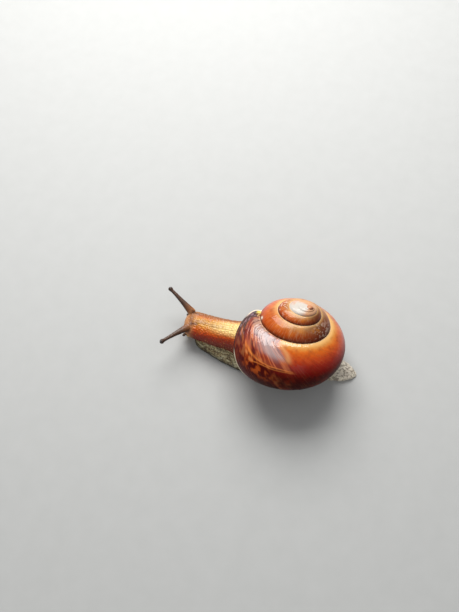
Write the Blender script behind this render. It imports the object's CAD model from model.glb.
"""The looks of a brown land snail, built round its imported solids. Millimetres here, metres in Blender.

Shell and body repeat the construction of the solids, only finer. The shell is a sheet of section curves
turned about a leaning axis, with raised growth lines and a thick lip. The body is the union of its lofts,
remeshed into one skin with warts, folds and a fringed foot. The materials mix colours by vertex masks.
"""
from math import atan2, cos, hypot, log, pi, radians, sin

import bpy
import numpy as np
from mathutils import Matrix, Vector


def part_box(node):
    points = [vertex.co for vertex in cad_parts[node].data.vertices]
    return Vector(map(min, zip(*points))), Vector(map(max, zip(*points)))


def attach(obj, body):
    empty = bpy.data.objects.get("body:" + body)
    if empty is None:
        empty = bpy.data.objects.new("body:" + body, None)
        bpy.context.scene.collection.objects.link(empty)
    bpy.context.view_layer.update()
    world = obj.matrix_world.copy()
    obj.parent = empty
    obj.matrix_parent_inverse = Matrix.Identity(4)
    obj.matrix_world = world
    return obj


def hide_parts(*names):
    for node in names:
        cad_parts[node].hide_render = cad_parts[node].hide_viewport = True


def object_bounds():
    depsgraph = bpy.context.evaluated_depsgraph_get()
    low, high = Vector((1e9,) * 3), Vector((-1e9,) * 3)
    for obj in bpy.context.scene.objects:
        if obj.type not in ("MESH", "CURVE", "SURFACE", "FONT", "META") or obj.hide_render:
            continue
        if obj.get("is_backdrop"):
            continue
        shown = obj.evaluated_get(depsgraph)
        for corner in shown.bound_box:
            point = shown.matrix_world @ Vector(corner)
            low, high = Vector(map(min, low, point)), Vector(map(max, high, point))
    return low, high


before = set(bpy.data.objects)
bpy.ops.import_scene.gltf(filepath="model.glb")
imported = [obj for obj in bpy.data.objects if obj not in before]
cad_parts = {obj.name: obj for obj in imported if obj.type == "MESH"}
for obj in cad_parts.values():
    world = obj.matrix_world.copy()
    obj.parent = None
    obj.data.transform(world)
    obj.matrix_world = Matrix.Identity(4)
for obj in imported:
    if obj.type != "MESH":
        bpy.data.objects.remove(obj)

cad_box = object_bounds()
MM = 0.001

# The shell's own sizes, as in the solids: millimetres, and angles in radians.
GROWTH = 1.636
SECTION_RADIUS, SECTION_DROP = 6.96, 14.85
SECTION_WIDE, SECTION_TALL = 7.7, 7.28
LEAN = radians(-3.2)
LEAN_COS, LEAN_SIN = cos(LEAN), sin(LEAN)
SECTION_END = radians(-138)
SHELL_APEX = np.array((-5.8, 0.0, 18.16))
SHELL_TILT, TILT_HEADING = radians(25.3), radians(173.3)
APEX_BLUNT = 1.3
SPIRE_LEAN, SPIRE_DEPTH = np.array((1.4, 2.4, -0.6)), 4.4
MOUTH_START = radians(-8.1)
MOUTH_SHOULDER = np.array((-0.018, radians(60)))     # a point of its plane: turn and section angle
LIP_EASING, LIP_FOOT = 0.012, radians(-85)
MOUTH_NORMAL = np.array((-0.13, -0.71, -0.69))
MOUTH_NORMAL /= np.linalg.norm(MOUTH_NORMAL)
ARC = 2 * pi * (SECTION_RADIUS + SECTION_WIDE) / log(GROWTH)

# Stations of the foot: y, half width, ridge height, x of the middle.
FOOT = np.array((
    (14.5, 0.3, 0.4, 0.0), (13.4, 1.4, 1.0, 0.0), (11.5, 2.45, 1.7, 0.0), (8.5, 3.1, 2.2, 0.0),
    (3.0, 4.4, 2.5, 0.1), (-4.0, 5.5, 2.5, 0.3), (-10.0, 6.1, 2.4, 0.7), (-15.0, 5.3, 2.2, 0.7),
    (-19.0, 4.3, 1.9, 0.6), (-22.0, 3.2, 1.5, 0.5), (-23.4, 1.4, 0.9, 0.4)))
SOLE_ROUND = 0.4
# Stations of the trunk, neck and head: y, height of the middle, half width, half height, x of the middle.
TORSO = np.array((
    (0.5, 3.2, 3.6, 2.2, 0.2), (-3.0, 4.3, 4.42, 3.3, 0.7), (-7.0, 5.3, 5.2, 4.9, 1.5),
    (-10.5, 5.0, 4.6, 4.5, 1.3), (-14.0, 4.2, 3.5, 3.5, 0.75), (-17.5, 3.8, 3.35, 2.9, 0.6),
    (-21.0, 3.4, 3.25, 2.45, 0.35), (-23.7, 3.2, 3.2, 2.1, 0.05), (-24.9, 3.0, 2.85, 1.8, -0.15),
    (-25.6, 2.9, 2.15, 1.4, -0.3), (-26.0, 2.8, 1.25, 0.85, -0.5), (-26.15, 2.8, 0.4, 0.3, -0.6)))
# The feelers' roots and tips, and their radii at the root, along the shaft and at the bulb.
UPPER_FEELERS = {"left": np.array(((1.05, -24.2, 4.0), (8.5, -28.7, 6.9))),
                 "right": np.array(((-2.3, -24.9, 3.9), (-5.5, -31.6, 6.9)))}
LOWER_FEELERS = {"left": np.array(((1.5, -24.5, 2.2), (2.8, -25.7, 1.5))),
                 "right": np.array(((-2.2, -24.8, 2.2), (-2.9, -26.6, 1.4)))}
UPPER_RADII, LOWER_RADII = (1.0, 0.36, 0.52), (0.55, 0.29, 0.35)
SAG = 0.25
FEELERS = [(ends, UPPER_RADII, SAG) for ends in UPPER_FEELERS.values()]
FEELERS += [(ends, LOWER_RADII, 0.0) for ends in LOWER_FEELERS.values()]
EYE_RADIUS, EYE_OUT, EYE_UP = 0.26, 0.24, 0.14
LIPS, LIPS_SIZE = np.array((0.3, -24.4, 1.45)), np.array((2.3, 1.4, 1.0))

# The tail lies on the body's middle line, and its tip is the body's rear end.
tail_low, tail_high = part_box("tail")
SHIFT = np.array(((tail_low.x + tail_high.x) / 2 / MM, tail_high.y / MM - FOOT[0, 0], 0.0))


# ---- numbers

def ease(value, low, high):
    """0 below low, 1 above high, smooth between; low may be the larger."""
    u = np.clip((np.asarray(value, float) - low) / (high - low), 0, 1)
    return u * u * (3 - 2 * u)


def bump(value, middle, width):
    """1 at the middle, falling off smoothly to either side."""
    return np.exp(-((np.asarray(value, float) - middle) / width) ** 2)


def unit(vectors):
    return vectors / (np.linalg.norm(vectors, axis=-1, keepdims=True) + 1e-12)


def scatter(cell, seed):
    """A repeatable value between 0 and 1 for each whole-number cell."""
    mix = cell.astype(np.int64)
    code = mix[..., 0] * 73856093 ^ mix[..., 1] * 19349663 ^ mix[..., 2] * 83492791 ^ seed * 2654435
    code = (code ^ (code >> 13)) * 1274126177 & 0x7FFFFFFF
    code = (code ^ (code >> 15)) * 668265263 & 0x7FFFFFFF
    return (code ^ (code >> 12)) % 1000003 / 1000003


def noise(points, seed, octaves=3):
    """Smooth noise, mostly from -1 to 1, at points measured in cells."""
    total, size = 0.0, 1.0
    for octave in range(octaves):
        p = points * 2 ** octave + 17.3 * octave
        base = np.floor(p)
        f = p - base
        f = f * f * f * (f * (f * 6 - 15) + 10)
        value = 0.0
        for corner in np.ndindex(2, 2, 2):
            part = np.prod(np.where(corner, f, 1 - f), axis=-1)
            value = value + part * scatter(base + np.array(corner), seed + octave)
        total = total + (value * 2 - 1) * size
        size *= 0.5
    return total * 0.85


def cells(points, seed):
    """Distances to the nearest and second nearest of the scattered spots, one to a cell."""
    base = np.floor(points)
    near = np.full(len(points), 9.0)
    second = near.copy()
    for step in np.ndindex(3, 3, 3):
        cell = base + np.array(step) - 1
        spot = cell + np.stack([scatter(cell, seed + k) for k in range(3)], -1) * 0.8 + 0.1
        away = np.linalg.norm(spot - points, axis=-1)
        second = np.where(away < near, near, np.minimum(second, away))
        near = np.minimum(near, away)
    return near, second


def smooth(table, y):
    """The columns of a station table after its first, at y, with cubic easing between stations."""
    rows = table[np.argsort(table[:, 0])]
    ys, values = rows[:, 0], rows[:, 1:].T
    order = np.arange(len(ys))
    low, high = np.maximum(order - 1, 0), np.minimum(order + 1, len(ys) - 1)
    slopes = (values[:, high] - values[:, low]) / (ys[high] - ys[low])
    y = np.clip(y, ys[0], ys[-1])
    i = np.clip(np.searchsorted(ys, y, side="right") - 1, 0, len(ys) - 2)
    step = ys[i + 1] - ys[i]
    u = (y - ys[i]) / step
    start = values[:, i] * (1 + 2 * u) * (1 - u) ** 2 + slopes[:, i] * step * u * (1 - u) ** 2
    return start + values[:, i + 1] * u * u * (3 - 2 * u) + slopes[:, i + 1] * step * u * u * (u - 1)


# ---- the shell's surface

def shell_frame():
    """The coil's axis, the direction from it to the mouth's corner, and the one that growth takes there."""
    axis = np.array((sin(SHELL_TILT) * cos(TILT_HEADING),
                     sin(SHELL_TILT) * sin(TILT_HEADING), cos(SHELL_TILT)))
    side = unit(np.cross(axis, (0, -1, 0)))
    corner = np.cross(side, axis) * cos(MOUTH_START) + side * sin(MOUTH_START)
    return axis, corner, np.cross(corner, axis)


AXIS, CORNER, GROWING = shell_frame()


def section_point(angle):
    """Distance from the axis and height of the section curve at an angle, at full size."""
    across, along = SECTION_WIDE * np.cos(angle), SECTION_TALL * np.sin(angle)
    radius = SECTION_RADIUS + across * LEAN_COS - along * LEAN_SIN
    height = -SECTION_DROP + across * LEAN_SIN + along * LEAN_COS
    return radius, height


def spire_point(depth):
    """The middle of the spire at a depth below the apex; the oldest turns lean off the axis."""
    return SHELL_APEX - AXIS * depth + SPIRE_LEAN * np.maximum(0, 1 - depth / SPIRE_DEPTH) ** 2


def shell_points(turn, angle, shrink=1.0):
    """Points of the shell; turn is 0 at the mouth's corner, and shrink draws them in to the axis."""
    size = GROWTH ** turn
    radius, height = section_point(angle)
    around = 2 * pi * turn
    outward = CORNER * np.cos(around)[..., None] + GROWING * np.sin(around)[..., None]
    depth = np.hypot(height * size, APEX_BLUNT)[..., None]
    return spire_point(depth) + outward * (np.maximum(radius, 0) * size * shrink)[..., None]


def suture_angles():
    """Section angles where a turn meets the one before it, and where the next covers it."""
    low, high = radians(60), radians(120)
    for _ in range(50):
        top = (low + high) / 2
        radius, height = section_point(top)
        across, along = radius * GROWTH - SECTION_RADIUS, height * GROWTH + SECTION_DROP
        x = (across * LEAN_COS + along * LEAN_SIN) / SECTION_WIDE
        y = (along * LEAN_COS - across * LEAN_SIN) / SECTION_TALL
        low, high = (top, high) if hypot(x, y) > 1 else (low, top)
    return top, atan2(y, x)


TOP, COVER = suture_angles()


def lip_turns(angle):
    """The turn of the lip at each section angle: where the mouth's plane cuts the surface."""
    angle = np.asarray(angle, float)
    lower = np.maximum(angle, LIP_FOOT)
    plane = shell_points(*MOUTH_SHOULDER)
    low, high = np.full(angle.shape, -0.3), np.full(angle.shape, 0.25)
    for _ in range(40):
        middle = (low + high) / 2
        beyond = (shell_points(middle, lower) - plane) @ MOUTH_NORMAL > 0
        low, high = np.where(beyond, low, middle), np.where(beyond, middle, high)
    return np.where(angle >= TOP - 1e-6, 0.0, -LIP_EASING * np.log1p(np.exp(-low / LIP_EASING)))


def surface(turn, angle, shrink):
    """Points of the shell and their outward normals."""
    nudge = 1e-4
    ahead = shell_points(turn + nudge, angle) - shell_points(turn - nudge, angle)
    down = shell_points(turn, angle - nudge) - shell_points(turn, angle + nudge)
    return shell_points(turn, angle, shrink), unit(np.cross(ahead, down))


# ---- meshes

def grid_faces(rows, columns, first=0, closed=False):
    """Faces of a grid of vertices, whose last column may meet its first."""
    row = np.arange(rows - 1)[:, None] * columns
    column = np.arange(columns if closed else columns - 1)
    a, b = row + column, row + (column + 1) % columns
    return first + np.stack([a, b, b + columns, a + columns], -1).reshape(-1, 4)


def add(name, data):
    """A new object in the scene."""
    made = bpy.data.objects.new(name, data)
    bpy.context.scene.collection.objects.link(made)
    return made


def new_piece(name, points, faces, masks, look, uv=None):
    """A piece from points in millimetres, faces, vertex masks, a material and bake coordinates."""
    mesh = bpy.data.meshes.new(name)
    mesh.from_pydata(((points + SHIFT) * MM).tolist(), [], faces.tolist())
    for mask, values in masks.items():
        layer = mesh.attributes.new(mask, "FLOAT", "POINT")
        layer.data.foreach_set("value", np.asarray(values, np.float32).ravel())
    if uv is not None:
        corners = np.zeros(len(mesh.loops), np.int32)
        mesh.loops.foreach_get("vertex_index", corners)
        mesh.uv_layers.new(name="OFBake").data.foreach_set("uv", uv[corners].astype(np.float32).ravel())
    mesh.shade_smooth()
    mesh.materials.append(look)
    return add(name, mesh)


# ---- materials

class Look:
    """A material in the making: each call adds a node and gives its output."""

    def __init__(self, name):
        self.material = bpy.data.materials.new(name)
        self.material.use_nodes = True
        self.tree = self.material.node_tree
        self.shader = self.tree.nodes["Principled BSDF"]

    def node(self, kind, inputs=(), **settings):
        made = self.tree.nodes.new(kind)
        for setting, value in settings.items():
            setattr(made, setting, value)
        for socket, value in dict(inputs).items():
            self.feed(made.inputs[socket], value)
        return made

    def feed(self, socket, value):
        """Sets an input; a name stands for that mask, and (value, low, high) for a span."""
        if isinstance(value, str):
            value = self.mask(value)
        elif isinstance(value, tuple) and isinstance(value[0], bpy.types.NodeSocket):
            value = self.span(*value)
        if isinstance(value, bpy.types.NodeSocket):
            self.tree.links.new(value, socket)
        elif isinstance(value, tuple) and len(value) == 3 and socket.type == "RGBA":
            socket.default_value = (*value, 1.0)
        else:
            socket.default_value = value

    def mask(self, name):
        return self.node("ShaderNodeAttribute", attribute_name=name).outputs["Fac"]

    def place(self, wide, long=None):
        """The piece's own coordinates, counted in cells so wide and so long, in millimetres."""
        where = self.node("ShaderNodeTexCoord").outputs["Object"]
        scale = tuple(1 / (size * MM) for size in (wide, long or wide, wide))
        return self.node("ShaderNodeMapping", {"Vector": where, "Scale": scale}).outputs["Vector"]

    def noise(self, vector, detail, rough=0.5):
        settings = {"Vector": vector, "Scale": 1.0, "Detail": detail, "Roughness": rough}
        return self.node("ShaderNodeTexNoise", settings).outputs["Fac"]

    def cells(self, vector):
        return self.node("ShaderNodeTexVoronoi", {"Vector": vector, "Scale": 1.0}).outputs["Distance"]

    def math(self, operation, a, b):
        return self.node("ShaderNodeMath", {0: a, 1: b}, operation=operation).outputs[0]

    def times(self, a, b):
        return self.math("MULTIPLY", a, b)

    def wobbly(self, value, noise, reach):
        """A value pushed up and down by a noise."""
        return self.math("ADD", value, self.times(self.math("SUBTRACT", noise, 0.5), reach))

    def span(self, value, low, high):
        """0 at low, 1 at high, clipped; low may be the larger."""
        limits = {"Value": value, "From Min": low, "From Max": high}
        return self.node("ShaderNodeMapRange", limits).outputs[0]

    def ramp(self, value, stops):
        made = self.node("ShaderNodeValToRGB", {"Fac": value})
        points = made.color_ramp.elements
        while len(points) < len(stops):
            points.new(1.0)
        for point, (place, colour) in zip(points, stops):
            point.position = place
            point.color = (*colour, 1.0)
        return made.outputs["Color"]

    def mix(self, below, colour, amount):
        made = self.node("ShaderNodeMix", data_type="RGBA")
        self.feed(made.inputs["Factor"], amount)
        self.feed(made.inputs[6], below)
        self.feed(made.inputs[7], colour)
        return made.outputs[2]

    def layers(self, below, *layers):
        """Colours laid over one another, each by an amount times a strength."""
        for colour, amount, strength in layers:
            below = self.mix(below, colour, self.times(amount, strength))
        return below

    def bump(self, height, distance, strength):
        settings = {"Height": height, "Distance": distance * MM, "Strength": strength}
        return self.node("ShaderNodeBump", settings).outputs["Normal"]

    def finish(self, **settings):
        """The material, with these settings of its shader."""
        for socket, value in settings.items():
            self.feed(self.shader.inputs[socket.replace("_", " ")], value)
        return self.material


# ---- the shell

# Where growth last rested, in turns from the lip, and how much further back over the shoulder.
REST, REST_SHOULDER = -0.203, -0.03
# Two pale lines round the newest part: turns from the lip, and the section angle in degrees at each.
UPPER_LINE = ((-0.24, -0.2, -0.18, -0.14, -0.12, -0.1, -0.086, -0.068, -0.038, -0.02),
              (22.5, 22.5, 23.3, 23.5, 24.2, 25.5, 29.2, 35.0, 40.1, 45.0))
LOWER_LINE = ((-0.24, -0.2, -0.16, -0.125, -0.1, -0.076, -0.05),
              (19.5, 19.3, 19.3, 20.2, 19.5, 16.5, 14.0))
# The lip's rolled edge: millimetres forward of the lip, and out from the shell's surface.
LIP_ROLL = ((0.0, 0.0), (0.13, 0.03), (0.22, -0.06), (0.25, -0.17), (0.2, -0.29), (0.08, -0.36),
            (-0.3, -0.38), (-1.2, -0.36), (-3.0, -0.34), (-6.0, -0.32))
# The coil is drawn from its oldest turn on, and a small dome, the button, covers its start.
OLDEST = -6.6
BUTTON_DEPTH, BUTTON_WIDE, BUTTON_TALL = 1.62, 0.84, 0.56
BUTTON_SHIFT, BUTTON_SHADE = np.array((0.2, 0.32, -0.1)), np.array((0.64, 0.77, 0.0))
# Steps between rows of vertices, and how far the turns run on under their neighbours.
SPIRE_STEP, LAST_STEP, OVERLAP = 0.1, 0.09, radians(2.5)
# Strips of the bake's square, from side to side.
SPIRE_STRIP, BUTTON_STRIP, LIP_STRIP, LAST_STRIP = (0.02, 0.26), (0.275, 0.32), (0.33, 0.38), (0.4, 0.98)


def spiral_rows(first, last, step):
    """Turns between two turns, evenly spaced along the spiral."""
    start, end = GROWTH ** first, GROWTH ** last
    count = max(2, round(ARC * (end - start) / step) + 1)
    return np.log(np.linspace(start, end, count)) / log(GROWTH)


def coil_noise(along, across, layer, seed, octaves=3):
    """Noise on the shell, at places counted in cells along and across it."""
    return noise(np.stack([along, across, 0 * along + layer], -1), seed, octaves)


def shell_relief(turn, angle, lip):
    """How far growth lines and folds stand proud of the smooth shell."""
    age = turn - lip
    along = ARC * GROWTH ** age
    across = np.degrees(angle) / 20
    size = GROWTH ** (turn * 0.7)
    fine = coil_noise(along / 0.3, across * 0.5, 0, 3, 2)
    coarse = coil_noise(along / 1.1, across * 0.4, 5, 9, 2)
    relief = (fine * 0.01 + coarse * 0.018) * size * (1 + 0.8 * ease(age, REST - 0.02, REST))
    # a groove where growth rested, and one behind the lip
    relief = relief - 0.05 * bump(age, REST, 0.0016) * ease(angle, -0.6, 0.1)
    relief = relief - 0.06 * bump(age, -0.012, 0.006)
    suture = np.degrees(TOP - angle)
    return relief + 0.05 * size * bump(suture, 7.0, 4.0) - 0.05 * size * bump(suture, 0.0, 2.0)


def pale_lines(age, arc, wander, streak):
    """The two pale lines round the newest part; the upper one frays near the lip."""
    near_lip = ease(age, -0.115, -0.075)
    upper = bump(arc + 0.8 * wander, np.interp(age, *UPPER_LINE), 0.9 + 3.2 * near_lip)
    upper = upper * (1 - (0.42 - 0.9 * streak) * near_lip)
    lower = bump(arc + 0.5 * wander, np.interp(age, *LOWER_LINE), 0.7) * ease(age, -0.065, -0.085)
    return np.maximum(upper, lower)


def shell_masks(turn, angle, lip, inner):
    """The masks that colour the shell, from the turn of each vertex and its angle round the section."""
    age = turn - lip
    arc = np.degrees(angle)
    drop = np.degrees(TOP) - arc
    cover = np.degrees(COVER)
    along = ARC * GROWTH ** age
    wander = coil_noise(along / 2.5, arc / 14, 0, 21)
    flame = coil_noise(along / 0.85 + arc / 26, arc / 9, 3, 33)
    streak = coil_noise(along / 0.5 + 0.5 * wander, arc / 30, 7, 41, 2)
    fleck = coil_noise(along / 0.55, arc / 5.5, 9, 47, 2)
    last = ease(turn, -1.04, -0.98)
    spire = ease(turn, -1.0, -1.06)
    edge = np.maximum(ease(age, -0.005, -0.0025), inner) * last
    rest = REST + REST_SHOULDER * ease(arc, 30, 62)
    line = np.interp(age, *LOWER_LINE)
    under = ease(arc, line + 1.0, line - 2.5)
    new = ease(age + 0.004 * wander, rest - 0.008, rest + 0.016) * last
    new = new * (1 - under * ease(age + 0.02 * wander, -0.115, -0.165))
    sheen = bump(age + 0.006 * wander, -0.172, 0.05) * ease(arc, 33 + 5 * wander, 46)
    ember = bump(age - 0.0007 * (arc - 45), -0.062, 0.022)
    rim = ease(arc, 79, 70) * ease(arc, 26, 46)
    worn_side = ease(np.cos(2 * pi * (turn + 0.09)), 0.15, 0.75)
    return {
        # places for the textures
        "along": along,
        "degrees": arc,
        "height": np.clip((arc + 60) / 150, 0, 1),
        "blaze": flame * 0.5 + 0.5,
        "streak": streak * 0.5 + 0.5,
        "fleck": fleck * 0.5 + 0.5,
        # along the sutures
        "band": bump(drop, 3.0, 6.5 + 2.0 * wander) * (1 - new) * (1 - 0.55 * spire),
        "thread": bump(drop, 0.0, 1.5) * (1 - 0.5 * new),
        "seam": ease(arc, cover + 11 + 3 * wander, cover + 1) * spire,
        # the newest part
        "new": new,
        "lines": pale_lines(age, arc, wander, streak) * new * ease(age, -0.012, -0.03),
        "under": under * new,
        "embers": ease(arc, -22, 6) * ease(age, -0.15, -0.09),
        "sheen": sheen * ease(arc, 80, 73) * new,
        "glow": ease(age, -0.09, -0.14) * ease(arc, 62, 48) * ease(arc, 20, 26) * new,
        "collar": ease(age, -0.17, -0.14) * ease(age, -0.035, -0.07) * ease(arc, 58, 68) * new,
        "ember": ember * ease(arc, 30, 40) * ease(arc, 74, 62),
        "verge": ease(age, -0.075 + 0.014 * flame, -0.025) * ease(arc, 50, 38) * last,
        "tongue": bump(age, rest - 0.003, 0.01) * ease(arc, 32, 44) * ease(arc, 76, 66) * last,
        # the lip and the dark rim behind it
        "rim": ease(age, -0.058 + 0.01 * flame, -0.034) * rim * last,
        "edge": edge,
        "lip": edge * (ease(arc, 52, 62) + ease(arc, 12, 0)),
        "corner": bump(age, -0.012, 0.01) * ease(arc, 70, 75) * last,
        # the spire, from its newest turn to its tip
        "spire": spire,
        "shade": (0.5 + 0.5 * np.cos(2 * pi * (turn + 0.46))) ** 3 * spire,
        "glint": bump(turn, -1.066, 0.008) * bump(arc, 28, 3.5),
        "tawny": bump(turn, -1.1, 0.1),
        "mottle": bump(turn, -2.02, 0.1) + 0.5 * bump(turn, -1.45, 0.07),
        "ruddy": bump(turn, -2.04, 0.12),
        "pale_tip": ease(turn, -2.55, -3.1),
        "worn": ease(turn + 0.1 * wander, -2.8, -3.02) * worn_side,
        "button": np.zeros_like(age),
    }


def strip_uv(rows, columns, strip):
    """Bake coordinates of a grid of vertices that fills one strip."""
    u, v = np.linspace(0.002, 0.998, rows), np.linspace(*strip, columns)
    return np.stack(np.broadcast_arrays(u[:, None], v[None, :]), -1)


def shell_block(strip, turn, angle, lip=0.0, push=0.0, shrink=1.0, inner=0.0):
    """A grid of the shell's vertices, with its masks and bake coordinates."""
    turn, angle, lip, push, shrink, inner = np.broadcast_arrays(turn, angle, lip, push, shrink, inner)
    point, normal = surface(turn, angle, shrink)
    relief = shell_relief(turn, angle, lip) * (shrink > 0.999) * (inner < 0.5)
    point = point + normal * (relief + push)[..., None]
    return point, shell_masks(turn, angle, lip, inner), strip_uv(*turn.shape, strip)


def shell_blocks():
    """The shell's grids: the older turns, the last turn, its lip and the button on the tip."""
    side = np.linspace(TOP + OVERLAP, COVER - OVERLAP, 56)
    yield shell_block(SPIRE_STRIP, spiral_rows(OLDEST, -1.0, SPIRE_STEP)[:, None], side[None, :])
    # The last turn goes on underneath to the axis, and its end follows the lip.
    under = np.concatenate([side, np.linspace(side[-1], SECTION_END, 100)[1:]])
    closing = np.linspace(1, 0, 8)[1:]
    all_under = np.concatenate([under, np.full(len(closing), SECTION_END)])
    shrink = np.concatenate([np.ones(len(under)), closing])
    lips = lip_turns(all_under)
    age = spiral_rows(-1.0, 0.0, LAST_STEP)[:, None] + 1
    yield shell_block(LAST_STRIP, -1 + age * (1 + lips), all_under[None, :], lips, 0.0, shrink)
    # The lip thickens, turns over and runs back inside.
    lip = lips[:len(under)]
    radius = np.maximum(section_point(under)[0], 2.5)
    rolled = np.stack([lip + forward / (2 * pi * radius) for forward, _ in LIP_ROLL])
    push = np.array([out for _, out in LIP_ROLL])[:, None]
    inner = np.array([0.0] + [1.0] * (len(LIP_ROLL) - 1))[:, None]
    yield shell_block(LIP_STRIP, rolled, under[None, :], lip, push, 1.0, inner)
    yield first_turn()


def shell_piece(look):
    points, faces, uv, masks, count = [], [], [], [], 0
    for point, mask, where in shell_blocks():
        faces.append(grid_faces(*point.shape[:2], first=count))
        points.append(point.reshape(-1, 3))
        uv.append(where.reshape(-1, 2))
        masks.append(mask)
        count += len(points[-1])
    merged = {key: np.concatenate([np.ravel(m[key]) for m in masks]) for key in masks[0]}
    return new_piece("snail_shell", np.concatenate(points), np.concatenate(faces), merged, look,
                     np.concatenate(uv))


def first_turn():
    """The rounded first turn: a small dome over the middle of the coil."""
    around = np.linspace(0, 2 * pi, 41)[None, :]
    rise = np.linspace(-0.35, pi / 2, 20)[:, None]
    across = unit(np.cross(AXIS, CORNER))
    out = CORNER * np.cos(around)[..., None] + across * np.sin(around)[..., None]
    point = spire_point(BUTTON_DEPTH) + BUTTON_SHIFT + BUTTON_WIDE * out * np.cos(rise)[..., None] \
        + BUTTON_TALL * AXIS * np.sin(rise)[..., None]
    turn, angle = np.broadcast_arrays(OLDEST + 0 * around, radians(60) + 0 * rise)
    masks = shell_masks(turn, angle, 0.0, 0.0)
    masks["button"] = np.broadcast_to(ease(rise, 0.05, 0.35), turn.shape)
    masks["shade"] = masks["button"] * ease((out @ BUTTON_SHADE) * np.cos(rise), 0.25, 0.75)
    return point, masks, strip_uv(41, 20, BUTTON_STRIP).swapaxes(0, 1)


def old_shell(look, height, spire, fine, fleck):
    """Older shell: cream under the suture, orange over the shoulder, dark below; browner on the spire."""
    mottle = look.noise(look.place(0.45), 4.0, 0.6)
    cloud = look.noise(look.place(2.2), 4.0, 0.65)
    level = look.wobbly(height, mottle, 0.1)
    last = look.ramp(level, (
        (0.0, (0.03, 0.002, 0.001)), (0.36, (0.035, 0.001, 0.0)), (0.45, (0.065, 0.002, 0.001)),
        (0.53, (0.21, 0.006, 0.003)), (0.62, (0.36, 0.014, 0.001)), (0.7, (0.52, 0.05, 0.0)),
        (0.8, (0.58, 0.11, 0.003)), (0.87, (0.6, 0.23, 0.03)), (0.94, (0.66, 0.35, 0.1))))
    older = look.ramp(level, (
        (0.53, (0.12, 0.014, 0.001)), (0.6, (0.34, 0.045, 0.002)), (0.68, (0.55, 0.09, 0.005)),
        (0.76, (0.58, 0.17, 0.03)), (0.84, (0.56, 0.27, 0.09)), (0.92, (0.56, 0.34, 0.16))))
    return look.layers(
        look.mix(last, older, spire),
        # pale and dark rays along the growth lines
        ((0.62, 0.3, 0.12), (fine, 0.54, 0.76), 0.16),
        ((0.66, 0.42, 0.24), (fine, 0.5, 0.66), look.times(spire, 0.42)),
        ((0.26, 0.06, 0.012), (fine, 0.44, 0.32), look.times(spire, 0.45)),
        ((0.06, 0.01, 0.003), "shade", 0.88),
        ((0.22, 0.03, 0.008), "ruddy", 0.55),
        ((0.44, 0.066, 0.004), "tawny", 0.75),
        # pale specks, then mottling and clouds
        ((0.7, 0.54, 0.42), look.times((fleck, 0.62, 0.72), "mottle"), 0.7),
        ((0.1, 0.008, 0.002), (mottle, 0.55, 0.8), 0.3),
        ((0.2, 0.014, 0.001), (cloud, 0.5, 0.68), 0.45),
        ((0.7, 0.24, 0.03), (cloud, 0.46, 0.3), look.times((height, 0.6, 0.76), 0.4)))


def new_shell(look, degrees, fine, fleck):
    """The newest part of the shell: purple-brown, red and orange flames along the growth lines."""
    flame, streak = look.mask("blaze"), look.mask("streak")
    flames = look.ramp(flame, (
        (0.26, (0.07, 0.005, 0.002)), (0.42, (0.17, 0.014, 0.003)), (0.54, (0.34, 0.04, 0.006)),
        (0.66, (0.5, 0.1, 0.015)), (0.84, (0.62, 0.2, 0.06))))
    glow = look.mix((0.3, 0.036, 0.014), (0.6, 0.14, 0.045), (streak, 0.24, 0.7))
    dash = look.times((streak, 0.52, 0.4), (fleck, 0.4, 0.56))
    pale = look.layers((0.42, 0.24, 0.17), ((0.1, 0.034, 0.036), dash, 0.85))
    blush = look.mix((0.2, 0.022, 0.012), (0.56, 0.12, 0.055), (streak, 0.3, 0.66))
    bloom = look.times("sheen", (fine, 0.12, 0.48))
    below = look.layers((0.085, 0.004, 0.003), ((0.5, 0.08, 0.008), (flame, 0.46, 0.74), "embers"))
    below = look.mix(below, (0.02, 0.001, 0.001), (degrees, 4.0, -26.0))
    lilac = look.mix((0.022, 0.009, 0.011), (0.2, 0.12, 0.15), (fleck, 0.62, 0.78))
    return look.layers(
        flames,
        ((0.1, 0.01, 0.008), (streak, 0.46, 0.24), 0.5),
        ((0.62, 0.2, 0.06), (streak, 0.54, 0.78), 0.4),
        (glow, "glow", 0.8),
        (pale, "collar", 0.8),
        (blush, "ember", 0.75),
        ((0.42, 0.32, 0.305), bloom, 0.88),
        (below, "under", 0.92),
        ((0.1, 0.01, 0.01), "verge", 0.72),
        (lilac, "rim", 0.9))


def shell_look():
    look = Look("shell_gloss")
    degrees, height, spire, fleck = (look.mask(m) for m in ("degrees", "height", "spire", "fleck"))
    grown = look.node("ShaderNodeCombineXYZ", {
        "X": look.times("along", 3.4), "Y": look.times(degrees, 0.03)}).outputs[0]
    fine = look.noise(grown, 4.0, 0.6)
    old, young = old_shell(look, height, spire, fine, fleck), new_shell(look, degrees, fine, fleck)
    colour = look.layers(
        look.mix(old, young, "new"),
        ((0.72, 0.41, 0.14), "band", 0.8),
        ((0.07, 0.016, 0.006), "seam", 0.8),
        ((0.84, 0.58, 0.33), "thread", 0.8),
        ((0.66, 0.34, 0.13), "tongue", 0.6),
        ((0.84, 0.24, 0.045), "lines", 0.95),
        ((0.6, 0.34, 0.2), "pale_tip", 0.6),
        ((0.52, 0.5, 0.45), "worn", 0.88),
        ((0.9, 0.86, 0.7), "glint", 0.95),
        ((0.8, 0.68, 0.1), "corner", 0.8),
        ((0.48, 0.205, 0.1), "button", 0.93),
        ((0.05, 0.022, 0.022), "edge", 0.85),
        ((0.8, 0.68, 0.5), "lip", 0.95),
        ((0.1, 0.022, 0.012), look.times("shade", "button"), 0.85))
    rough = look.math("ADD", look.times((fine, 0.2, 0.8), 0.12), 0.3)
    gloss = look.times((height, 0.52, 0.68), (spire, 1.9, 0.0))
    ridges = look.bump(fine, 0.02, 0.6)
    return look.finish(Base_Color=colour, Roughness=rough, Normal=ridges, Coat_Weight=gloss,
                       Coat_Roughness=0.1, Coat_IOR=1.42, Specular_IOR_Level=0.05)


# ---- the body

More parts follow.
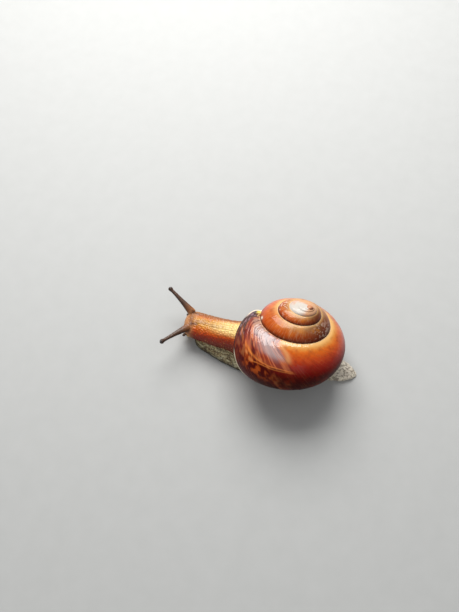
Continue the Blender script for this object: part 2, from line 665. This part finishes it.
SKIN_CELL, SMOOTHING = 0.09, 5     # the skin's mesh size, and how often it is smoothed
# Warts on neck and back, and the finer grain of foot, feelers and lips: their spacing, and their height.
WART_SPACING, GRAIN_SPACING = np.array((0.46, 0.8, 0.46)), np.array((0.24, 0.3, 0.24))
WART_HEIGHT, FOOT_GRAIN, LIPS_GRAIN, HEAD_GRAIN, FEELER_GRAIN = 0.085, 0.05, 0.035, 0.03, 0.018
# The mantle's collar: millimetres inside the lip, and forward of the mouth's plane.
COLLAR_DOME = ((0.75, -2.4), (0.62, -0.9), (0.66, 0.0), (0.95, 0.45), (1.6, 0.8), (3.0, 1.0), (4.6, 1.1))
FOLD_LENGTH = 2.2
MOUTH_LEVEL, MOUTH_DEPTH = 1.2, 0.16
SOCKET_REACH, SOCKET_WIDE, SOCKET_TIGHT = 0.6, 1.12, 0.35


def loft(sections):
    """Closed mesh over an array of rings, as points and faces."""
    rings, sides, _ = sections.shape
    points = np.concatenate([sections.reshape(-1, 3), sections[:1].mean(1), sections[-1:].mean(1)])
    ring = np.arange(sides)
    turn = (ring + 1) % sides
    last = (rings - 1) * sides
    caps = [np.stack([turn, ring, np.full(sides, rings * sides)], -1),
            np.stack([last + ring, last + turn, np.full(sides, rings * sides + 1)], -1)]
    return points, grid_faces(rings, sides, closed=True).tolist() + np.concatenate(caps).tolist()


def foot_profile(y):
    """The foot at y: half width, ridge height, middle, and how high its rounded edge and shoulder are."""
    half, ridge, middle = smooth(FOOT, y)
    edge = np.minimum(np.minimum(SOLE_ROUND, ridge * 0.4), half * 0.6)
    return half, ridge, middle, edge, np.minimum(edge * 2.1, ridge * 0.75)


def foot_rings(ys, steps=14):
    half, ridge, middle, edge, shoulder = foot_profile(ys)
    right = [(half - edge, 0 * ys), (half - 0.25 * edge, edge * 0.3), (half, edge)]
    for u in np.linspace(0, 1, steps):
        right.append(((half - 0.2 * edge) * (1 - u), shoulder + (ridge - shoulder) * u * u * (3 - 2 * u)))
    outline = right + [(-x, z) for x, z in right[-2::-1]]
    return np.stack([np.stack([middle + x, ys, z], -1) for x, z in outline], 1)


def torso_rings(ys, sides=72):
    height, wide, tall, middle = smooth(TORSO, ys)
    angle = np.arange(sides) * 2 * pi / sides
    x = np.copysign(np.abs(np.cos(angle)) ** 0.9, np.cos(angle))
    z = np.copysign(np.abs(np.sin(angle)) ** 0.95, np.sin(angle))
    return np.stack([middle[:, None] + wide[:, None] * x, np.repeat(ys[:, None], sides, 1),
                     height[:, None] + tall[:, None] * z], -1)


def feeler_axes(ends):
    """A feeler's root, tip and directions: along it, across it and upward."""
    root, tip = ends
    along = unit(tip - root)
    across = unit(np.cross(along, (0, 0, 1)))
    return root, tip, along, across, np.cross(across, along)


def feeler_line(ends, sag, u):
    """Points at parts u of a feeler's middle line, which arches up by its sag."""
    root, tip = ends
    return root + (tip - root) * u[:, None] + np.array((0, 0, 1)) * (sag * 4 * u * (1 - u))[:, None]


def feeler_radius(radii, length, u):
    """Radius at parts u of a feeler: a wide root, an even shaft and a round bulb."""
    root, shaft, bulb = radii
    radius = shaft + (root - shaft) * (1 - u) ** 2
    from_bulb = (u - (1 - bulb / length)) * length / bulb
    rounded = bulb * np.sqrt(np.maximum(0, 1 - from_bulb ** 2))
    swollen = radius + (bulb - radius) * np.exp(-from_bulb ** 2 * 1.2)
    return np.where(from_bulb > 0, rounded, swollen)


def feeler_rings(ends, radii, sag, sides=28):
    root, tip, _, across, upward = feeler_axes(ends)
    u = np.sin(np.linspace(0, pi / 2, 90))
    radius = np.maximum(feeler_radius(radii, np.linalg.norm(tip - root), u), 0.02)
    angle = np.arange(sides) * 2 * pi / sides
    ring = across * np.cos(angle)[:, None] + upward * np.sin(angle)[:, None]
    return feeler_line(ends, sag, u)[:, None] + ring[None] * radius[:, None, None]


def ball_rings(middle, size, count=20, sides=40):
    rise = np.linspace(-pi / 2 + 0.02, pi / 2 - 0.02, count)[:, None]
    around = np.linspace(0, 2 * pi, sides, endpoint=False)[None, :]
    unit_ball = np.stack(np.broadcast_arrays(np.cos(rise) * np.cos(around), np.cos(rise) * np.sin(around),
                                             np.sin(rise)), -1)
    return middle + unit_ball * size


def eye_centre(ends):
    """The middle of an eye, a little ahead of and above the middle of its bulb."""
    root, tip, along, _, upward = feeler_axes(ends)
    u = 1 - UPPER_RADII[2] / np.linalg.norm(tip - root)
    return feeler_line(ends, SAG, np.array([u]))[0] + along * EYE_OUT + upward * EYE_UP


def collar_rings():
    """The mantle's collar: a plug that fills the mouth just inside the lip, with a domed front."""
    angles = np.linspace(TOP, SECTION_END, 90)
    lip = shell_points(lip_turns(angles), angles)
    start = shell_points(np.full(40, -1.0), np.linspace(SECTION_END, COVER, 40))
    fall = np.linspace((lip[-1] - SHELL_APEX) @ AXIS, (start[0] - SHELL_APEX) @ AXIS, 12)
    loop = np.concatenate([lip, SHELL_APEX + AXIS * fall[:, None], start])
    middle = lip.mean(0)
    flat = loop - ((loop - middle) @ MOUTH_NORMAL)[:, None] * MOUTH_NORMAL
    away = np.linalg.norm(middle - flat, axis=1, keepdims=True)
    rings = []
    for inset, front in COLLAR_DOME:
        rings.append(flat + (middle - flat) / away * np.minimum(inset, away * 0.8) + MOUTH_NORMAL * front)
    return np.stack(rings)


def joined(parts):
    points, faces, count = [], [], 0
    for part_points, part_faces in parts:
        points.append(part_points)
        faces += [[count + i for i in face] for face in part_faces]
        count += len(part_points)
    return np.concatenate(points), faces


def union_skin(points, faces, size):
    """One closed skin over overlapping closed shapes, as points, faces and edges."""
    mesh = bpy.data.meshes.new("union")
    mesh.from_pydata(points.tolist(), [], faces)
    lump = add("union", mesh)
    remesh = lump.modifiers.new("union", "REMESH")
    remesh.mode = "VOXEL"
    remesh.voxel_size = size
    graph = bpy.context.evaluated_depsgraph_get()
    fine = lump.evaluated_get(graph).to_mesh()
    skin = np.zeros(len(fine.vertices) * 3)
    fine.vertices.foreach_get("co", skin)
    quads = np.array([tuple(p.vertices) for p in fine.polygons if len(p.vertices) == 4], np.int64)
    edges = np.zeros(len(fine.edges) * 2, np.int32)
    fine.edges.foreach_get("vertices", edges)
    bpy.data.objects.remove(lump)
    bpy.data.meshes.remove(mesh)
    return skin.reshape(-1, 3), quads, edges.reshape(-1, 2)


def relaxed(points, edges, passes, forward=0.55, back=-0.57):
    """Smoothed points that keep their volume."""
    ends = np.concatenate([edges[:, 0], edges[:, 1]])
    others = np.concatenate([edges[:, 1], edges[:, 0]])
    count = np.bincount(ends, minlength=len(points))[:, None]
    for step in range(passes * 2):
        mean = np.stack([np.bincount(ends, points[others, k], len(points)) for k in range(3)], -1) / count
        points = points + (mean - points) * (forward if step % 2 == 0 else back)
    return points


def vertex_normals(points, faces):
    a, b, c, d = (points[faces[:, k]] for k in range(4))
    facing = np.cross(c - a, d - b)
    total = np.stack([np.bincount(faces.ravel(), np.repeat(facing[:, k], 4), len(points))
                      for k in range(3)], -1)
    return unit(total)


def feeler_place(points, ends, radii, sag):
    """How far along a feeler points lie, from 0 to 1, and how many radii off its middle line."""
    root, tip, along, _, _ = feeler_axes(ends)
    length = np.linalg.norm(tip - root)
    u = np.clip((points - root) @ along / length, 0, 1)
    off = np.linalg.norm(points - feeler_line(ends, sag, u), axis=1)
    return u, off / np.maximum(feeler_radius(radii, length, np.minimum(u, 0.97)), 0.2)


def beside(points, start, stretch):
    """How far along a stretch points lie, from 0 to 1, and how far off it, both seen from above."""
    u = np.clip((points - start) @ stretch / (stretch @ stretch), 0, 1)
    return u, np.linalg.norm((points - start - stretch * u[:, None])[:, :2], axis=1)


def folds(points):
    """The dark folds that run back over the head from the upper feelers."""
    fold = np.zeros(len(points))
    for ends in UPPER_FEELERS.values():
        u, off = beside(points, ends[0], np.array((-0.25 * ends[0, 0], FOLD_LENGTH, 0.0)))
        fold = np.maximum(fold, bump(off, 0.0, 0.42) * ease(u, 1.0, 0.55))
    return fold * ease(points[:, 2], 3.6, 4.3)


def saddle(points):
    """The dark dip across the head between the upper feelers."""
    left, right = (ends[0] for ends in UPPER_FEELERS.values())
    _, off = beside(points, left, right - left)
    return bump(off, 0.0, 0.65) * ease(points[:, 2], 3.6, 4.3)


def mouth(points):
    """The slit of the mouth: an arc low on the front of the head, with a short cleft below it."""
    x, y, z = points.T
    across = x - LIPS[0]
    arc = bump(z - MOUTH_LEVEL + 0.3 * across ** 2, 0.0, 0.12) * ease(np.abs(across), 0.95, 0.6)
    cleft = bump(across, 0.0, 0.11) * ease(z, MOUTH_LEVEL + 0.05, MOUTH_LEVEL - 0.1)
    return np.maximum(arc, 0.8 * cleft) * ease(y, LIPS[1] - 0.3, LIPS[1] - 0.8)


def skin_masks(points, normals):
    """Where on the body each vertex lies, as masks from 0 to 1."""
    x, y, z = points.T
    half, ridge, middle, edge, shoulder = foot_profile(y)
    u = np.clip(1 - np.abs(x - middle) / np.maximum(half - 0.2 * edge, 0.1), 0, 1)
    top = shoulder + (ridge - shoulder) * u * u * (3 - 2 * u)
    foot = ease(z - top, 0.22, 0.02) * ease(z, ridge + 0.5, ridge)
    height, wide, tall, centre = smooth(TORSO, y)
    roll = np.degrees(np.arctan2((z - height) / tall, np.abs(x - centre) / wide))
    feel, reach = np.zeros(len(points)), np.zeros(len(points))
    for ends, radii, sag in FEELERS:
        u, off = feeler_place(points, ends, radii, sag)
        near = ease(off, 1.7, 1.2) * ease(u, 0.02, 0.14)
        reach = np.where(near > feel, u, reach)
        feel = np.maximum(feel, near)
    lips = ease(np.linalg.norm((points - LIPS) / LIPS_SIZE, axis=1), 1.35, 1.05)
    fringe = np.maximum(ease(z, 0.62, 0.15), ease(half - np.abs(x - middle), 0.8, 0.25) * ease(z, 1.1, 0.7))
    return {
        "foot": foot * (1 - feel) * (1 - lips),
        "sole": fringe * ease(y, 10.0, 6.0),
        "tail": ease(y, 6.0, 11.0),
        "roll": (roll + 90) / 180,
        "far": ease((centre - x) / wide, 0.25, 0.75) * ease(y, -25.5, -24.0),
        "near_shell": ease(y, -21.5, -13.5) * ease(y, -8.0, -10.0),
        "head": ease(y, -22.6, -24.6),
        "fold": folds(points),
        "saddle": saddle(points),
        "lips": lips,
        "mouth": mouth(points),
        "feel": feel,
        "reach": reach,
        "above": normals[:, 2] * 0.5 + 0.5,
    }


def skin_relief(points, normals, masks):
    """Warts, grooves and folds: a distance along the normals, and each vertex's height on its wart."""
    x, y, z = points.T
    warp = np.stack([noise(points / 2.2, seed, 2) for seed in (51, 52, 53)], -1) * 0.22
    near, second = cells((points + warp) / WART_SPACING, 5)
    wart = ease(second - near, 0.02, 0.42)
    near, second = cells((points + warp * 0.5) / GRAIN_SPACING, 15)
    grain = ease(second - near, 0.02, 0.4)
    foot, feel, lips, head = (masks[name] for name in ("foot", "feel", "lips", "head"))
    firm = 1 - np.maximum(foot, np.maximum(feel, lips))
    big = firm * (1 - 0.5 * head)
    fine = foot * FOOT_GRAIN + head * HEAD_GRAIN + feel * FEELER_GRAIN + lips * LIPS_GRAIN
    height = big * WART_HEIGHT * (wart - 0.6) + fine * (grain - 0.6) - MOUTH_DEPTH * masks["mouth"]
    # the foot's fringe is cut by short upright grooves
    fringe = noise(np.stack([y / 0.55, 0 * y, np.sign(x)], -1), 61, 2)
    height += foot * ease(z, 1.3, 0.5) * 0.06 * fringe
    # two grooves along the back of the neck, with a ridge of long warts between them
    off = x - smooth(TORSO, y)[3]
    back = ease(normals[:, 2], 0.6, 0.9) * ease(y, -25.0, -22.5) * firm * ease(y, -8.0, -11.0)
    height -= back * 0.07 * (bump(off, 0.55, 0.13) + bump(off, -0.55, 0.13))
    # slow swellings, and soft rings round the neck
    height += 0.05 * noise(points / 2.6, 71, 2) * (1 - feel)
    ring = np.sin((y + 0.4 * noise(points / 1.5, 75, 1)) * 2 * pi / 1.5)
    height += 0.025 * ring * ease(y, -12.0, -16.0) * firm
    return height, wart * big + grain * (foot + feel + lips * 0.5)


def skin_piece(look):
    """The flesh as one skin: the loft of each part, joined, smoothed and raised into warts and folds."""
    parts = [loft(torso_rings(np.linspace(TORSO[0, 0], TORSO[-1, 0], 240))),
             loft(foot_rings(np.linspace(FOOT[0, 0], FOOT[-1, 0], 260))),
             loft(collar_rings()), loft(ball_rings(LIPS, LIPS_SIZE))]
    parts += [loft(feeler_rings(*feeler)) for feeler in FEELERS]
    points, faces, edges = union_skin(*joined(parts), SKIN_CELL)
    points = relaxed(points, edges, SMOOTHING)
    normals = vertex_normals(points, faces)
    masks = skin_masks(points, normals)
    relief, masks["wart"] = skin_relief(points, normals, masks)
    points = points + normals * (relief * ease(points[:, 2], 0.0, 0.25))[:, None]
    for ends in UPPER_FEELERS.values():
        points = eye_socket(points, eye_centre(ends), ends)
    points[:, 2] = np.maximum(points[:, 2], 0.0)
    return new_piece("snail_skin", points, faces, masks, look)


def eye_socket(points, centre, ends):
    """Skin drawn back round an eye, so that the eye's front shows."""
    _, _, along, _, upward = feeler_axes(ends)
    out = unit(along * EYE_OUT + upward * EYE_UP)
    away = points - centre
    distance = np.linalg.norm(away, axis=1)
    facing = (away @ out) / np.maximum(distance, 1e-6)
    goal = EYE_RADIUS * (SOCKET_WIDE - SOCKET_TIGHT * ease(facing, 0.45, 0.62))
    pulled = centre + unit(away) * goal[:, None]
    amount = ((distance < SOCKET_REACH) * ease(facing, 0.3, 0.5))[:, None]
    return points + (pulled - points) * amount


def flesh_colour(look, roll, wart, blotch):
    """Dark red low on the flank, orange and gold above it and cream along the top; the head is tan."""
    flesh = look.ramp(look.wobbly(roll, blotch, 0.12), (
        (0.28, (0.1, 0.008, 0.003)), (0.5, (0.13, 0.01, 0.003)), (0.62, (0.22, 0.014, 0.003)),
        (0.71, (0.34, 0.026, 0.002)), (0.78, (0.5, 0.065, 0.002)), (0.84, (0.52, 0.11, 0.004)),
        (0.89, (0.56, 0.18, 0.014)), (0.94, (0.58, 0.28, 0.05)), (1.0, (0.42, 0.22, 0.085))))
    return look.layers(
        flesh,
        ((0.22, 0.105, 0.03), "far", 0.82),
        ((0.92, 0.7, 0.28), "near_shell", look.times((roll, 0.79, 0.91), 0.88)),
        ((0.56, 0.26, 0.1), "head", (roll, 0.45, 0.72)),
        ((0.52, 0.24, 0.055), "head", (roll, 0.6, 0.44)),
        ((0.24, 0.05, 0.008), (wart, 0.45, 0.0), 0.4),
        ((0.1, 0.022, 0.003), "saddle", 0.62),
        ((0.06, 0.016, 0.006), "fold", 0.75))


def foot_colour(look, wart, blotch, grain):
    """Straw-coloured grains in dark grooves, a pale grey tail and a blackish edge of the sole."""
    pebble = look.cells(look.place(0.42, 0.55))
    return look.layers(
        look.mix((0.26, 0.18, 0.08), (0.84, 0.74, 0.42), (wart, 0.25, 0.9)),
        ((0.95, 0.9, 0.56), (blotch, 0.5, 0.6), 0.85),
        ((0.68, 0.61, 0.52), "tail", 0.8),
        ((0.095, 0.068, 0.045), (pebble, 0.5, 0.72), 0.65),
        ((0.075, 0.055, 0.035), (grain, 0.56, 0.68), 0.6),
        ((0.022, 0.016, 0.011), "sole", 0.92))


def feeler_colour(look, grain):
    """Dark brown, paler on top, tan at the root and darkest at the bulb."""
    above, reach = look.mask("above"), look.mask("reach")
    stalk = look.ramp(above, (
        (0.35, (0.01, 0.005, 0.004)), (0.66, (0.03, 0.012, 0.009)), (0.95, (0.08, 0.044, 0.03))))
    return look.layers(
        stalk,
        ((0.016, 0.008, 0.007), (grain, 0.52, 0.62), 0.5),
        ((0.3, 0.105, 0.03), (reach, 0.38, 0.06), look.times((above, 0.35, 0.75), 0.8)),
        ((0.018, 0.012, 0.01), (reach, 0.86, 0.93), 0.7))


def skin_look():
    look = Look("snail_flesh")
    roll, foot, feel, wart = (look.mask(m) for m in ("roll", "foot", "feel", "wart"))
    blotch = look.noise(look.place(1.1, 2.0), 3.0)
    grain = look.noise(look.place(0.16, 0.22), 3.0, 0.6)
    fleck = look.span(look.cells(look.place(0.62, 0.7)), 0.22, 0.11)
    fleck = look.times(fleck, look.times((roll, 0.76, 0.62), 0.55))
    bare = look.math("SUBTRACT", 1.0, look.math("MAXIMUM", feel, foot))
    colour = look.layers(
        look.mix(flesh_colour(look, roll, wart, blotch), foot_colour(look, wart, blotch, grain), foot),
        ((0.58, 0.32, 0.08), "lips", 0.85),
        ((0.05, 0.018, 0.008), "mouth", 0.85),
        (feeler_colour(look, grain), feel, 0.96),
        ((0.85, 0.42, 0.1), fleck, bare))
    rough = look.math("ADD", look.times(grain, 0.2), 0.3)
    pores = look.bump(grain, 0.03, 0.7)
    return look.finish(Base_Color=colour, Roughness=rough, Normal=pores, Coat_Weight=0.2,
                       Coat_Roughness=0.15, Specular_IOR_Level=0.2)


def eye_look():
    look = Look("snail_eye")
    cloud = look.noise(look.place(0.15), 2.0)
    colour = look.mix((0.006, 0.005, 0.006), (0.03, 0.02, 0.016), (cloud, 0.45, 0.7))
    return look.finish(Base_Color=colour, Roughness=(cloud, -0.6, 4.0), Coat_Weight=1.0, Coat_Roughness=0.03)


def eye_piece(name, centre, look):
    points, faces = loft(ball_rings(centre, EYE_RADIUS, 24, 32))
    triangles = [t for f in faces for t in ([f[:3], [f[0], f[2], f[3]]] if len(f) == 4 else [f])]
    return new_piece(name, points, np.array(triangles), {}, look)


# ---- the pieces on their body

FLESH = ["mantle_collar", "trunk", "neck", "head", "lips", "foot_front", "foot_middle", "tail"]
for side_name in ("left", "right"):
    FLESH += [f"upper_feeler_{side_name}_{part}" for part in ("base", "shaft", "bulb")]
    FLESH.append(f"lower_feeler_{side_name}")


def settle(piece, slot_name, *nodes):
    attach(piece, "root")
    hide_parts(*nodes)


settle(shell_piece(shell_look()), "shell_horn", "shell")
settle(skin_piece(skin_look()), "flesh", *FLESH)
eye_material = eye_look()
for side_name, ends in UPPER_FEELERS.items():
    settle(eye_piece(f"snail_eye_{side_name}", eye_centre(ends), eye_material), "eye", f"eye_{side_name}")


# ---- studio

AIM = Vector((-9.27, -9.5, 0.0)) * MM     # the point of the floor that the camera looks at
DISTANCE = 189.1 * MM
AZIMUTH, ELEVATION = radians(107.5), radians(60)
LENS, SENSOR = 47.06, 36
CLIP_NEAR, CLIP_FAR = 0.01, 10
SKY, SKY_STRENGTH = (0.93, 0.96, 1.0, 1), 0.33
PAPER_DARK, PAPER_LIGHT = (0.42, 0.42, 0.405), (0.46, 0.46, 0.445)
FLOOR_HALF = 5


def toward(azimuth, elevation):
    """The direction of a compass bearing and a height: 0 is ahead of the snail, 90 its left."""
    return Vector((sin(azimuth) * cos(elevation), -cos(azimuth) * cos(elevation),
                   sin(elevation)))


def stand(made, place, away):
    """Moves an object to a place and turns its back, +Z, to a direction."""
    made.location = place
    made.rotation_mode = "QUATERNION"
    made.rotation_quaternion = away.to_track_quat("Z", "Y")


def camera():
    made = add("camera", bpy.data.cameras.new("camera"))
    made.data.lens = LENS
    made.data.sensor_width = SENSOR
    made.data.clip_start, made.data.clip_end = CLIP_NEAR, CLIP_FAR
    away = toward(AZIMUTH, ELEVATION)
    stand(made, AIM + away * DISTANCE, away)
    bpy.context.scene.camera = made


def softbox(name, azimuth, elevation, distance, size, power):
    """A soft lamp that faces the origin; degrees, millimetres and watts."""
    lamp = bpy.data.lights.new(name, "AREA")
    lamp.shape = "RECTANGLE"
    lamp.size, lamp.size_y = (side * MM for side in size)
    lamp.energy = power
    away = toward(radians(azimuth), radians(elevation))
    stand(add(name, lamp), away * distance * MM, away)


def studio():
    """Two soft lamps, a pale even surround and a sheet of grey paper for the floor."""
    softbox("key", azimuth=-66, elevation=47, distance=280, size=(240, 190), power=1.3)
    softbox("fill", azimuth=105, elevation=28, distance=420, size=(480, 360), power=0.36)
    world = bpy.data.worlds.new("studio")
    world.use_nodes = True
    shade = world.node_tree.nodes["Background"]
    shade.inputs["Color"].default_value = SKY
    shade.inputs["Strength"].default_value = SKY_STRENGTH
    bpy.context.scene.world = world
    bpy.context.scene.view_settings.view_transform = "Standard"
    mesh = bpy.data.meshes.new("floor")
    corners = ((-1, -1), (1, -1), (1, 1), (-1, 1))
    mesh.from_pydata([(x * FLOOR_HALF, y * FLOOR_HALF, 0) for x, y in corners], [], [(0, 1, 2, 3)])
    look = Look("floor_paper")
    grain = look.noise(look.place(4), 3.0)
    mesh.materials.append(look.finish(
        Base_Color=look.mix(PAPER_DARK, PAPER_LIGHT, grain),
        Roughness=look.math("ADD", look.times(grain, 0.1), 0.75)))
    floor = add("floor", mesh)
    floor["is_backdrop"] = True


camera()
studio()

boxes = {"cad": cad_box, "visual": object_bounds()}
{key: [list(corner) for corner in box] for key, box in boxes.items()}
